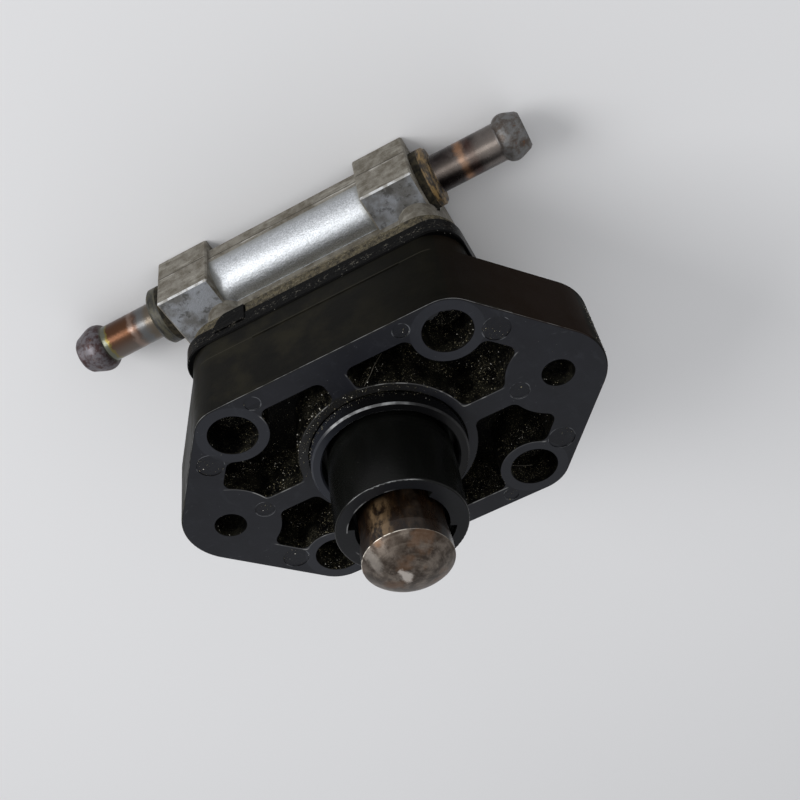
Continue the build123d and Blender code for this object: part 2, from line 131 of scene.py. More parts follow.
class Finish:
    """A procedural material, measured in millimetres on the piece's own coordinates."""

    def __init__(self, name, colour, roughness, metallic=0.0):
        self.material = bpy.data.materials.new(name)
        self.material.use_nodes = True
        self.tree = self.material.node_tree
        self.shader = self.tree.nodes["Principled BSDF"]
        self.shader.inputs["Base Color"].default_value = colour
        self.shader.inputs["Roughness"].default_value = roughness
        self.shader.inputs["Metallic"].default_value = metallic
        coords = self.add("ShaderNodeTexCoord")
        self.place = self.vector("SCALE", coords.outputs["Object"], Scale=1 / MM)
        self.facing = coords.outputs["Normal"]
        self.relief = None

    def add(self, kind, inputs=(), **settings):
        """A node with its settings, and its inputs as numbers or links."""
        node = self.tree.nodes.new(kind)
        for name, value in settings.items():
            setattr(node, name, value)
        for key, value in dict(inputs).items():
            self.feed(node.inputs[key], value)
        return node

    def feed(self, socket, value):
        """Link a socket, or set its number."""
        if isinstance(value, bpy.types.NodeSocket):
            self.tree.links.new(value, socket)
        else:
            socket.default_value = value

    def vector(self, operation, first, second=None, **inputs):
        """Result of a vector operation: a number where it measures, else a vector."""
        given = {0: first, **inputs}
        if second is not None:
            given[1] = second
        node = self.add("ShaderNodeVectorMath", given, operation=operation)
        numbers = ("LENGTH", "DISTANCE", "DOT_PRODUCT")
        return node.outputs["Value" if operation in numbers else "Vector"]

    def calc(self, operation, first, second=0.0, third=0.0):
        """Number worked out from others."""
        node = self.add("ShaderNodeMath", {0: first, 1: second, 2: third}, operation=operation)
        return node.outputs[0]

    def axis(self, letter, source=None):
        """One coordinate of the place, or of another vector."""
        split = self.add("ShaderNodeSeparateXYZ", {0: source or self.place})
        return split.outputs[letter]

    def stretch(self, x=1.0, y=1.0, z=1.0):
        """The place times a factor on each axis; a small factor draws a pattern out."""
        return self.vector("MULTIPLY", self.place, (x, y, z))

    def away(self, x=0.0, y=0.0, source=None):
        """Distance from an upright line."""
        flat = self.vector("MULTIPLY", source or self.place, (1, 1, 0))
        return self.vector("DISTANCE", flat, (x, y, 0))

    def mirrored(self, source=None):
        """The place folded into the quarter where x and y are above zero."""
        return self.vector("ABSOLUTE", source or self.place)

    def bearing(self, degrees):
        """1 on the side of the plunger axis that lies in that direction, -1 opposite."""
        turn = math.radians(degrees)
        flat = self.vector("NORMALIZE", self.vector("MULTIPLY", self.place, (1, 1, 0)))
        return self.vector("DOT_PRODUCT", flat, (math.cos(turn), math.sin(turn), 0))

    def from_bar(self):
        """Distance from the nipple axis."""
        flat = self.vector("MULTIPLY", self.place, (0, 1, 1))
        return self.vector("DISTANCE", flat, (0, bar_y, bar_z))

    def noise(self, size, detail=3.0, rough=0.55, source=None, distortion=0.0):
        """Cloudy pattern with patches of that size."""
        given = {"Vector": source or self.place, "Scale": 1 / size, "Detail": detail}
        given.update({"Roughness": rough, "Distortion": distortion})
        return self.add("ShaderNodeTexNoise", given).outputs[0]

    def patches(self, size, low, high, *noise):
        """Patches with a soft outline: the cloudy pattern stepped up between two levels."""
        return self.rise(self.noise(size, *noise), low, high)

    def specks(self, size, share):
        """1 on a share of small cells of that size, chosen at random."""
        given = {"Vector": self.place, "Scale": 1 / size}
        cell = self.add("ShaderNodeTexVoronoi", given)
        chosen = self.rise(self.axis("X", cell.outputs["Color"]), 1 - share, 1 - share + 0.01)
        near = self.rise(cell.outputs["Distance"], 0.28, 0.42, 1, 0)
        return self.both(chosen, near)

    def rise(self, value, low, high, start=0.0, end=1.0):
        """Smooth step of a value from start at low to end at high."""
        given = {"Value": value, "From Min": low, "From Max": high, "To Min": start, "To Max": end}
        node = self.add("ShaderNodeMapRange", given, interpolation_type="SMOOTHSTEP")
        return node.outputs[0]

    def band(self, value, low, high, soft):
        """1 between two levels and 0 outside them."""
        up = self.rise(value, low - soft, low + soft)
        down = self.rise(value, high - soft, high + soft, 1, 0)
        return self.calc("MULTIPLY", up, down)

    def both(self, *masks):
        """Product of several masks."""
        result = masks[0]
        for mask in masks[1:]:
            result = self.calc("MULTIPLY", result, mask)
        return result

    def either(self, *masks):
        """Largest of several masks."""
        result = masks[0]
        for mask in masks[1:]:
            result = self.calc("MAXIMUM", result, mask)
        return result

    def outside(self, mask):
        """Where a mask isn't."""
        return self.calc("SUBTRACT", 1, mask)

    def mix(self, factor, first, second):
        """Colour between two colours."""
        node = self.add("ShaderNodeMix", {0: factor, 6: first, 7: second}, data_type="RGBA")
        return node.outputs[2]

    def stain(self, under, mask, colour, strength):
        """A colour laid over another where the mask is, only as strong as told."""
        return self.mix(self.both(mask, strength), under, colour)

    def level(self, factor, first, second):
        """Number between two numbers."""
        return self.add("ShaderNodeMix", {0: factor, 2: first, 3: second}).outputs[0]

    def levels(self, under, *areas):
        """A number with its own value in each area, the last area on top."""
        for mask, value in areas:
            under = self.level(mask, under, value)
        return under

    def bump(self, height, depth):
        """Relief of that depth in millimetres, over any relief already there."""
        given = {"Height": height, "Distance": depth * MM, "Strength": 1.0}
        if self.relief is not None:
            given["Normal"] = self.relief
        self.relief = self.add("ShaderNodeBump", given).outputs[0]

    def finish(self, **sockets):
        """Feed the shader and return the material."""
        for socket, value in sockets.items():
            self.feed(self.shader.inputs[socket.replace("_", " ")], value)
        if self.relief is not None:
            self.feed(self.shader.inputs["Normal"], self.relief)
        return self.material


def dress(node, material):
    """Give a solid its finish."""
    mesh = nodes[node].data
    mesh.materials.clear()
    mesh.materials.append(material)


# Plastic body

def across_slant(f, quarter):
    """Distance from the centre, square to the slanted edges of the flange."""
    across = f.calc("MULTIPLY", f.axis("X", quarter), math.cos(slant_angle))
    return f.calc("MULTIPLY_ADD", f.axis("Y", quarter), math.sin(slant_angle), across)


def pocket_reach(f, source):
    """How far a place lies inside the outline of a hollow in the face; below zero outside it.

    It is the smallest distance to the hollow's walls, with the corners between them rounded.
    """
    quarter = f.mirrored(source)
    x, y = f.axis("X", quarter), f.axis("Y", quarter)
    walls = [
        f.calc("SUBTRACT", f.away(source=source), face_ring_r),
        f.calc("SUBTRACT", x, rib_half),
        f.calc("SUBTRACT", y, rib_half),
        f.calc("SUBTRACT", pocket_top_y, y),
        f.calc("SUBTRACT", pocket_slant, across_slant(f, quarter)),
        f.calc("SUBTRACT", f.away(screw_x, screw_y, quarter), screw_boss_r),
        f.calc("SUBTRACT", f.away(mount_x, 0, quarter), ear_boss_r),
    ]
    reach = walls[0]
    for wall in walls[1:]:
        reach = f.calc("SMOOTH_MIN", reach, wall, pocket_corner)
    return reach


def body_areas(f):
    """Masks of the plastic body's areas, and the patterns that several areas share."""
    z, away, quarter = f.axis("Z"), f.away(), f.mirrored()
    tilt = f.axis("Z", f.facing)
    area = SimpleNamespace(z=z, away=away, quarter=quarter, tilt=tilt)
    area.cloud = f.noise(7, 5, 0.6)
    area.dust = f.patches(9, 0.42, 0.68, 5, 0.65)
    area.scuff = f.patches(2.2, 0.52, 0.75, 5, 0.7, f.stretch(1, 0.5, 1), 0.6)
    area.broken = f.patches(2.6, 0.47, 0.6, 2, 0.5)

    upward = f.rise(tilt, 0.92, 0.97)
    area.face = f.both(upward, f.band(z, -0.3, 0.1, 0.1))
    area.collar = f.both(f.rise(away, groove_r - 0.3, groove_r, 1, 0), f.rise(z, -3, -2))
    ring = f.band(away, groove_r, step_ring_r + 0.15, 0.05)
    area.step_ring = f.both(ring, f.rise(z, 0.05, 0.15))
    area.collar_ring = f.both(upward, f.rise(z, collar_top - 0.3, collar_top - 0.2))
    area.flat_side = f.rise(f.axis("Y", quarter), flat_y - 0.5, flat_y - 0.3)
    area.slanted_side = f.rise(across_slant(f, quarter), slant_reach - 0.8, slant_reach - 0.4)

    # The hollows and holes are what lies below the face, apart from the flange's outer skin
    side = f.both(f.either(area.flat_side, area.slanted_side), f.rise(z, -0.4, -0.2, 1, 0))
    corner = f.rise(f.axis("Y", quarter), screw_y + 4.1, screw_y + 4.4)
    past_boss = f.rise(f.away(screw_x, screw_y, quarter), screw_boss_r, screw_boss_r + 0.2)
    corner = f.both(corner, past_boss)
    ear_end = f.rise(f.axis("X", quarter), ear_x, ear_x + 0.3)
    ear_end = f.both(ear_end, f.rise(f.away(ear_x, 0, quarter), ear_r - 0.5, ear_r - 0.3))
    hollow = f.both(f.rise(z, -0.3, -0.1, 1, 0), f.rise(away, groove_r - 1.2, groove_r - 0.2))
    hollow = f.both(hollow, f.outside(side), f.rise(z, pocket_floor - 0.8, pocket_floor - 0.5))
    area.hollow = f.both(hollow, f.outside(f.either(corner, ear_end)))
    return area


def side_colour(f, area):
    """Sides: dull and dark, a little olive, with thin smears, and browner at the right end."""
    x = f.axis("X")
    smear = f.noise(4, 5, 0.7, f.stretch(0.3, 0.3, 1.0))
    colour = f.mix(smear, paint(5, 5, 4), paint(20, 19, 15))
    colour = f.mix(f.both(area.dust, f.rise(x, -5, 20, 0.7, 0.15)), colour, paint(36, 34, 26))
    right_end = f.both(area.slanted_side, f.rise(x, 20, 40))
    colour = f.stain(colour, right_end, paint(30, 20, 14), 0.7)
    # Painted highlight: a faint pale line along the moulded ledge on the flat sides
    ridge_highlight = f.both(area.flat_side, f.band(area.z, *ridge_line, 0.05))
    return f.stain(colour, ridge_highlight, paint(70, 68, 58), 0.3)


def face_colour(f, area):
    """Mounting face: bluish grey with scuffs, scratches and faint round moulding marks."""
    scratch = f.patches(0.9, 0.64, 0.76, 3, 0.6, f.stretch(0.22, 2.0, 1), 0.3)
    face = f.mix(area.cloud, paint(14, 15, 19), paint(26, 27, 33))
    face = f.stain(face, area.scuff, paint(42, 44, 49), 0.35)
    face = f.stain(face, scratch, paint(76, 78, 84), 0.22)
    boss = f.band(f.away(screw_x, screw_y, area.quarter), head_hole_r, screw_boss_r, 0.12)
    face = f.stain(face, boss, paint(50, 52, 58), 0.25)
    lines = [
        f.band(f.away(x, y, area.quarter), r - mark_half, r + mark_half, 0.07)
        for x, y, r in [*round_marks, washer_mark]
    ]
    outer_half = f.rise(f.axis("X", area.quarter), mount_x + 1, mount_x + 5)
    marks = f.either(*lines[:-1], f.both(lines[-1], outer_half, 0.3))
    face = f.stain(face, f.both(marks, area.broken), paint(120, 122, 126), 0.55)
    return f.stain(face, f.specks(0.22, 0.004), paint(150, 150, 150), 0.6)


def face_edges(f, area, colour):
    """The face with grime beside the step ring and a painted highlight along the edges where the
    hollows begin.
    """
    inward = pocket_reach(f, f.place)
    toward_lit_side = pocket_reach(f, f.vector("ADD", f.place, tuple(0.4 * piled_and_lit)))
    lit = f.rise(f.calc("SUBTRACT", toward_lit_side, inward), 0.1, 0.3)
    # Painted highlight: a pale broken line on the hollows' edges that face the lit side
    hollow_edge_highlight = f.both(f.band(inward, -0.24, -0.02, 0.05), lit, f.rise(area.broken, 0, 1, 0.25, 1))
    grime = f.band(area.away, step_ring_r, face_ring_r + 0.2, 0.3)
    grime = f.both(grime, f.rise(f.bearing(100), 0.1, 0.8), f.patches(1.5, 0.3, 0.5, 4, 0.7))
    colour = f.stain(colour, f.both(area.face, grime), paint(20, 19, 15), 0.75)
    # The painted highlight is laid over the face here
    return f.stain(colour, f.both(area.face, hollow_edge_highlight), paint(140, 140, 138), 0.65)


def hollow_colour(f, area):
    """Hollows and holes: almost black, brown and sandy where dirt has settled."""
    settled = f.rise(f.vector("DOT_PRODUCT", f.facing, tuple(piled_and_lit)), 0.0, 0.7)
    dirt = f.both(f.patches(3.5, 0.44, 0.6, 5, 0.75), f.rise(settled, 0, 1, 0.25, 1))
    deep = f.mix(dirt, paint(4, 4, 4), paint(25, 24, 19))
    sand = f.both(f.specks(0.2, 0.2), f.rise(dirt, 0, 1, 0.2, 0.85))
    sand = f.both(sand, f.rise(f.away(mount_x, 0, area.quarter), 4, 5, 0.25, 1))
    return f.mix(sand, deep, paint(124, 119, 99))


def ring_colours(f, area, colour):
    """Oily collar, step ring with a painted sheen that makes it greyer on the left, and the flat
    ring at the collar's top.
    """
    oil = f.mix(f.noise(5, 3, 0.5, f.stretch(1, 1, 0.25)), paint(5, 5, 5), paint(17, 18, 16))
    oil = f.mix(f.specks(0.22, 0.004), oil, paint(90, 90, 86))
    # Painted sheen: the step ring is paler on the side towards the window lamp
    step = f.mix(f.rise(f.bearing(165), 0.1, 1), paint(9, 9, 10), paint(36, 38, 44))
    top = f.mix(area.cloud, paint(12, 12, 14), paint(25, 26, 29))
    colour = f.mix(area.collar, colour, oil)
    colour = f.mix(area.step_ring, colour, step)
    return f.mix(area.collar_ring, colour, top)


def worn_highlit_edges(f, area):
    """Rounded edges, pale from wear and from a painted highlight, on the +Y side of the face and
    of the rings.
    """
    turned = f.both(f.band(area.tilt, 0.58, 0.8, 0.06), f.rise(area.z, -0.5, -0.4))
    on_face = f.rise(f.axis("Y"), 6, 14, 0.05, 0.4)
    on_rings = f.rise(f.bearing(82), 0.78, 0.95, 0.03, 0.7)
    worn = f.level(f.rise(area.z, 2.5, 2.6), on_face, on_rings)
    return f.both(turned, worn, f.rise(f.noise(3.0, 3, 0.6), 0.4, 0.6, 0.3, 1))


def moulded_plastic():
    """Black plastic: dusty olive sides, scuffed grey face, gritty hollows and an oily collar."""
    f = Finish("moulded_plastic", paint(28, 28, 29), 0.4)
    area = body_areas(f)
    colour = f.mix(area.face, side_colour(f, area), face_colour(f, area))
    colour = face_edges(f, area, colour)
    colour = f.mix(area.hollow, colour, hollow_colour(f, area))
    colour = ring_colours(f, area, colour)
    worn = worn_highlit_edges(f, area)
    # Pale rounded edges: partly wear, partly a painted highlight
    colour = f.mix(worn, colour, paint(150, 151, 152))
    # Painted highlight: a broken pale line on the bore's edge, on the side towards the window lamp
    lip = f.both(area.collar_ring, f.band(area.away, bore_r, bore_r + 0.22, 0.04))
    lip = f.both(lip, f.rise(f.bearing(140), 0.3, 0.7), area.broken)
    colour = f.stain(colour, lip, paint(160, 160, 160), 0.4)

    rough = f.level(area.face, f.level(area.dust, 0.45, 0.6), f.level(area.scuff, 0.4, 0.52))
    rough = f.levels(rough, (area.collar, 0.24), (area.step_ring, 0.26),
                     (area.collar_ring, 0.42), (worn, 0.25))
    sides = f.level(f.rise(f.axis("X"), 5, 25), 0.045, 0.012)
    rings = f.either(area.collar_ring, area.step_ring)
    shine = f.levels(f.level(area.face, sides, 0.2), (area.hollow, 0.06), (area.collar, 0.12),
                     (rings, 0.16), (worn, 0.3))
    f.bump(f.noise(0.7, 4, 0.7), 0.02)
    f.bump(f.both(area.hollow, f.noise(0.5, 3, 0.6)), 0.2)
    return f.finish(Base_Color=colour, Roughness=rough, Specular_IOR_Level=shine)


# Rubber rim and casting

def rim_rubber():
    """Black rubber with a broken line of pale crumbs along its side, and fine grit."""
    f = Finish("rim_rubber", paint(18, 17, 16), 0.35)
    patch = f.noise(5, 5, 0.65, f.stretch(0.4, 0.4, 1))
    line = f.both(f.band(f.axis("Z"), *crumb_line, 0.3), f.patches(1.3, 0.42, 0.58, 4, 0.7))
    crumbs = f.both(line, f.patches(0.3, 0.54, 0.68, 3, 0.7, f.stretch(0.5, 0.5, 1)))
    colour = f.mix(patch, paint(1, 1, 1), paint(7, 7, 7))
    colour = f.stain(colour, crumbs, paint(116, 112, 102), 0.85)
    colour = f.stain(colour, f.specks(0.22, 0.02), paint(150, 148, 140), 0.6)
    f.bump(f.noise(0.7, 4, 0.65), 0.08)
    f.bump(crumbs, 0.1)
    rough = f.level(patch, 0.22, 0.4)
    return f.finish(Base_Color=colour, Roughness=rough, Specular_IOR_Level=0.04)


def casting_areas(f):
    """Masks of the casting's areas, and the patterns that several areas share."""
    x, y, z = f.axis("X"), f.axis("Y"), f.axis("Z")
    up, front = f.axis("Y", f.facing), f.axis("Z", f.facing)
    area = SimpleNamespace(x=x, y=y, z=z, up=up, front=front)
    area.grain = f.noise(0.3, 4, 0.7)
    area.blotch = f.noise(2.6, 5, 0.65)
    area.streak = f.patches(1.4, 0.5, 0.7, 4, 0.7, f.stretch(0.18, 1, 1))
    fronts = f.band(z, block_front_z - 0.5, block_front_z + 0.2, 0.1)
    area.block_front = f.both(f.rise(front, 0.8, 0.95), fronts)
    bar = f.both(f.band(x, left_block, right_block, 0.1), f.rise(z, bar_z, bar_z + 0.2))
    area.bar = f.both(bar, f.band(f.from_bar(), bar_r - 0.4, bar_r + 0.12, 0.06))
    # The crown of the round bar, where its painted sheen lies
    crown = f.both(f.rise(z, bar_z, bar_z + 2.2), f.rise(y, bar_y - 3, bar_y + 0.5))
    area.polish = f.both(crown, f.band(x, left_block + 1.0, right_block - 0.8, 0.8))
    return area


def top_colour(f, area):
    """Strip and tops of the blocks: grey-brown with pale streaks, and a painted highlight along
    the seam of the mould.
    """
    colour = f.mix(f.rise(area.blotch, 0.35, 0.65), paint(95, 89, 78), paint(131, 127, 118))
    colour = f.stain(colour, area.streak, paint(168, 165, 156), 0.5)
    colour = f.stain(colour, f.patches(0.9, 0.6, 0.75, 4, 0.7), paint(64, 58, 48), 0.7)
    on_top = f.rise(area.up, 0.8, 0.95)
    # Painted highlight: a near-white line along the mould seam
    seam = f.both(on_top, f.band(area.z, *mould_seam, 0.08), area.streak)
    groove = f.both(on_top, f.band(area.z, *seam_groove, 0.08))
    colour = f.mix(seam, colour, paint(205, 202, 196))
    return f.stain(colour, groove, paint(52, 47, 40), 0.7)


def front_colour(f):
    """Fronts of the blocks: grey patches with dark stains."""
    colour = f.mix(f.patches(7, 0.4, 0.6, 4, 0.6), paint(106, 105, 103), paint(146, 149, 154))
    return f.stain(colour, f.patches(1.8, 0.52, 0.66, 4, 0.6), paint(66, 64, 60), 0.65)


def bar_colour(f, area):
    """Round bar: a painted sheen on its crown, duller towards its long edges and its ends."""
    # Painted reflection: bright where the crown faces the lamp and camera; the duller mottled tone
    # off the crown is painted shade
    silver_sheen = f.mix(f.rise(area.grain, 0.25, 0.75), paint(156, 159, 162), paint(214, 217, 221))
    dull = f.mix(area.blotch, paint(112, 112, 106), paint(164, 166, 166))
    return f.mix(area.polish, dull, silver_sheen)


def worn_highlit_chamfers(f, area):
    """Bevels between the fronts and the tops of the two blocks, pale in places: partly wear,
    partly a painted highlight.
    """
    bevel = f.both(f.band(area.up, 0.3, 0.93, 0.08), f.band(area.front, 0.3, 0.93, 0.08))
    from_middle = f.calc("ABSOLUTE", f.calc("SUBTRACT", area.x, blocks_middle))
    blocks = f.rise(from_middle, 17.7, 18)
    return f.both(bevel, blocks, f.rise(f.noise(2, 3, 0.6), 0.38, 0.58, 0.3, 1))


def crust_area(f, area):
    """Crust from the rubber down to a wavy edge, lower by the bar; none on bar or block fronts."""
    near_bar = f.rise(f.calc("ABSOLUTE", area.x), 15, 17.5, 1, 0)
    near_bar = f.both(near_bar, f.rise(area.y, 18, 21))
    edge = f.level(near_bar, crust_edge, crust_edge_by_bar)
    wavy = f.calc("MULTIPLY_ADD", area.blotch, 3, area.z)
    crust = f.rise(f.calc("SUBTRACT", wavy, edge), 0, 3)
    clean = f.calc("ADD", area.bar, area.block_front)
    return f.both(crust, f.rise(clean, 0, 0.5, 1, 0))


def crust_colour(f, area):
    """Crust: brown with pale crumbs, darker by the rubber, with a painted highlight line at the
    very edge.
    """
    colour = f.mix(f.patches(0.9, 0.34, 0.66, 5, 0.7), paint(36, 31, 22), paint(112, 103, 80))
    colour = f.stain(colour, f.patches(0.35, 0.56, 0.7, 3, 0.7), paint(172, 165, 146), 0.6)
    colour = f.stain(colour, f.rise(area.z, -29, -27), paint(34, 31, 23), 0.4)
    # Painted highlight: a pale broken line along the casting's edge by the rubber
    lip = f.both(f.band(area.z, cast_face - 0.35, cast_face - 0.05, 0.06), area.streak)
    return f.stain(colour, lip, paint(150, 146, 132), 0.8)


def cast_aluminium():
    """Cast alloy: a painted sheen on the round bar, mottled on the blocks, crusted by the rubber.
    """
    f = Finish("cast_aluminium", paint(150, 148, 145), 0.45, 1.0)
    area = casting_areas(f)
    colour = f.mix(area.block_front, top_colour(f, area), front_colour(f))
    colour = f.mix(area.bar, colour, bar_colour(f, area))
    # Pale bevels: partly wear, partly a painted highlight
    colour = f.mix(worn_highlit_chamfers(f, area), colour, paint(186, 187, 188))
    crust = crust_area(f, area)
    colour = f.mix(crust, colour, crust_colour(f, area))

    # Metal follows the bar and its painted sheen
    bar_and_sheen = f.both(area.bar, f.rise(area.polish, 0, 1, 0.5, 1))
    metal = f.levels(f.level(bar_and_sheen, 0.45, 1.0), (crust, 0.1))
    rough = f.level(area.bar, f.level(area.grain, 0.5, 0.68), f.level(area.grain, 0.32, 0.44))
    rough = f.level(crust, rough, 0.8)
    f.bump(area.grain, 0.09)
    f.bump(f.both(crust, f.noise(0.6, 4, 0.7)), 0.2)
    f.bump(area.blotch, 0.12)
    return f.finish(Base_Color=colour, Roughness=rough, Metallic=metal, Specular_IOR_Level=0.3)


# Plunger and nipples

def plunger_side(f, varnish):
    """Side of the plunger: brown varnish, with a painted reflection streak high on +Y and a faint
    painted glint.
    """
    fleck = f.patches(0.8, 0.5, 0.7, 4, 0.7, f.stretch(1, 1, 0.4))
    side = f.mix(varnish, paint(38, 25, 15), paint(14, 7, 3))
    side = f.stain(side, fleck, paint(76, 56, 34), 0.3)
    # Painted reflection: a pale amber streak high on the side towards +Y
    reflection_streak = f.both(f.rise(f.bearing(99), 0.93, 0.998), f.rise(f.axis("Z"), 17.5, 21))
    reflection_streak = f.both(reflection_streak, f.patches(1.5, 0.4, 0.62, 4, 0.65, f.stretch(1, 1, 0.5)))
    side = f.stain(side, reflection_streak, paint(158, 130, 96), 0.42)
    # Painted glint: a faint pale line down the side
    glint_stripe = f.both(f.rise(f.bearing(54), 0.975, 0.995), f.patches(2.4, 0.35, 0.6, 4, 0.6))
    return f.stain(side, glint_stripe, paint(104, 88, 74), 0.18)


def ragged_distance(f, centre, squeeze, size, ripple):
    """Distance from an upright line with the axes squeezed, made uneven by noise."""
    offset = f.vector("MULTIPLY", f.vector("SUBTRACT", f.place, (*centre, 0)), (*squeeze, 0))
    uneven = f.calc("MULTIPLY", f.noise(size, 4, 0.7), ripple)
    return f.calc("ADD", f.vector("LENGTH", offset), uneven)


def plunger_dome(f, turning, worn_tip):
    """Dome: mottled brown-grey with turning rings, a bright worn tip and a paler streak."""
    dome = f.mix(f.patches(2.4, 0.36, 0.64, 5, 0.7), paint(54, 46, 40), paint(104, 95, 87))
    rings = f.both(f.rise(turning, 0.4, 0.7), f.patches(3, 0.4, 0.6))
    dome = f.stain(dome, rings, paint(150, 140, 128), 0.2)
    smudge = f.rise(f.noise(3.2, 4, 0.6, distortion=0.8), 0.46, 0.64)
    dome = f.stain(dome, smudge, paint(56, 47, 39), 0.5)
    dome = f.stain(dome, f.patches(4, 0.5, 0.68, 3, 0.5), paint(98, 72, 52), 0.6)
    dome = f.stain(dome, worn_tip, paint(170, 163, 156), 0.8)
    streak = ragged_distance(f, (-4.6, 4.9), (0.9, 0.4), 1.8, 1.8)
    return f.mix(f.rise(streak, 1.4, 2.2, 0.5, 0), dome, paint(160, 153, 145))


def stained_steel():
    """Plunger steel: brown varnish down the side, a turned and worn dome, and a painted highlight
    on the edge.
    """
    f = Finish("stained_steel", paint(130, 118, 104), 0.35, 1.0)
    z, away = f.axis("Z"), f.away()
    on_dome = f.rise(z, shoulder_z - 0.05, shoulder_z + 0.05)
    varnish = f.patches(2.6, 0.36, 0.6, 4, 0.6, f.stretch(1, 1, 0.3))
    along_radius = f.add("ShaderNodeCombineXYZ", {0: away}).outputs[0]
    turning = f.noise(0.35, 2, 0.5, along_radius)
    worn_tip = f.rise(ragged_distance(f, (-0.9, 0.4), (0.75, 0.42), 1.3, 2.0), 1.4, 2.0, 1, 0)
    colour = f.mix(on_dome, plunger_side(f, varnish), plunger_dome(f, turning, worn_tip))
    # Painted highlight: a broken pale line round the dome's edge, on the side towards the window
    # lamp
    edge = f.band(z, shoulder_z - 0.04, shoulder_z + 0.07, 0.03)
    edge = f.both(f.band(away, head_r - 0.2, head_r + 0.2, 0.05), edge)
    edge = f.both(edge, f.patches(1.4, 0.38, 0.55, 3, 0.6))
    edge = f.both(edge, f.rise(f.bearing(125), 0.3, 0.9, 0.2, 1))
    colour = f.mix(edge, colour, paint(214, 206, 194))
    rough = f.level(on_dome, f.level(varnish, 0.26, 0.36), f.level(turning, 0.38, 0.46))
    metal = f.level(on_dome, f.level(varnish, 0.55, 0.25), 0.85)
    metal = f.level(f.either(worn_tip, edge), metal, 0.4)
    f.bump(turning, 0.004)
    f.bump(f.noise(0.8, 3, 0.6), 0.02)
    return f.finish(Base_Color=colour, Roughness=rough, Metallic=metal)


def tube_patterns(f, sway):
    """Place along a nipple, how far its skin faces +Y, mottling, and the place swayed by it."""
    x = f.axis("X")
    up = f.calc("DIVIDE", f.calc("SUBTRACT", f.axis("Y"), bar_y), tube_r)
    mottle = f.noise(1.6, 4, 0.65)
    swayed = f.calc("MULTIPLY_ADD", f.calc("SUBTRACT", mottle, 0.5), sway, x)
    return x, up, mottle, swayed


def nipple_finish(f, colour, mottle, bead, foot, foot_tones, layer_from, gloss, foot_metal):
    """Crust at the nipple's foot, and the gloss and relief that both nipples share."""
    layer = f.patches(1.1, layer_from, 0.62, 4, 0.7, f.stretch(1.6, 0.4, 0.4))
    colour = f.mix(foot, colour, f.mix(layer, *foot_tones))
    coarse = f.either(bead, foot)
    rough = f.level(coarse, f.level(mottle, gloss, gloss + 0.12), 0.48)
    metal = f.level(foot, f.level(bead, 0.9, 0.7), foot_metal)
    f.bump(f.noise(0.5, 3, 0.6), 0.02)
    f.bump(f.both(coarse, mottle), 0.12)
    return f.finish(Base_Color=colour, Roughness=rough, Metallic=metal)


def inlet_tube():
    """Left nipple: copper and grey, yellow-green by the rusty bead, with an olive crusted foot."""
    f = Finish("inlet_tube", paint(120, 96, 74), 0.35, 1.0)
    x, up, mottle, swayed = tube_patterns(f, 2.2)
    tube = f.mix(f.rise(up, -0.3, 0.6), paint(100, 91, 85), paint(78, 52, 36))
    tube = f.mix(f.rise(swayed, -42.6, -40.8), tube, paint(96, 96, 96))
    tube = f.stain(tube, f.band(swayed, -43.6, -42.4, 0.5), paint(130, 112, 102), 0.7)
    tube = f.mix(f.band(swayed, -51, -49.2, 0.3), tube, paint(96, 98, 86))
    tube = f.stain(tube, f.band(swayed, -49.4, -48.9, 0.2), paint(112, 102, 50), 0.7)
    tube = f.mix(f.rise(swayed, -40.4, -38.8), tube, paint(96, 88, 78))
    bead = f.rise(x, *inlet_bead, 1, 0)
    skin = f.mix(f.rise(mottle, 0.4, 0.62), paint(98, 94, 98), paint(62, 46, 46))
    skin = f.stain(skin, f.patches(1.1, 0.6, 0.72, 4, 0.7), paint(104, 66, 34), 0.7)
    foot = f.rise(x, *inlet_foot)
    olive = (paint(20, 19, 15), paint(62, 59, 44))
    colour = f.mix(bead, tube, skin)
    return nipple_finish(f, colour, mottle, bead, foot, olive, 0.38, 0.24, 0.15)


def outlet_tube():
    """Right nipple: dark with one copper band, a painted highlight along its top, a rusty grey
    bead and a golden crusted foot.
    """
    f = Finish("outlet_tube", paint(100, 86, 74), 0.35, 1.0)
    x, up, mottle, swayed = tube_patterns(f, 2.0)
    tube = f.mix(f.rise(mottle, 0.35, 0.65), paint(84, 77, 74), paint(44, 38, 37))
    tube = f.mix(f.rise(swayed, 32.5, 35.5, 0.7, 0), tube, paint(28, 23, 23))
    tube = f.stain(tube, f.band(swayed, 35.0, 36.6, 0.6), paint(144, 108, 82), 0.8)
    tube = f.stain(tube, f.band(swayed, 36.8, 38.6, 0.8), paint(62, 38, 32), 0.6)
    tube = f.stain(tube, f.rise(swayed, 38.2, 41), paint(108, 102, 98), 0.7)
    # Painted highlight: a paler band along the nipple's upper side
    tube = f.stain(tube, f.band(up, 0.25, 0.75, 0.25), paint(196, 182, 170), 0.2)
    bead = f.rise(x, *outlet_bead)
    skin = f.mix(f.rise(mottle, 0.38, 0.66), paint(104, 104, 104), paint(74, 66, 60))
    rust = f.both(f.patches(1.1, 0.58, 0.7, 4, 0.7), f.rise(x, 46.5, 48.2, 0.3, 0.9))
    skin = f.mix(rust, skin, paint(92, 62, 42))
    foot = f.rise(x, *outlet_foot, 1, 0)
    golden = (paint(30, 23, 15), paint(116, 94, 58))
    colour = f.mix(bead, tube, skin)
    return nipple_finish(f, colour, mottle, bead, foot, golden, 0.4, 0.22, 0.2)


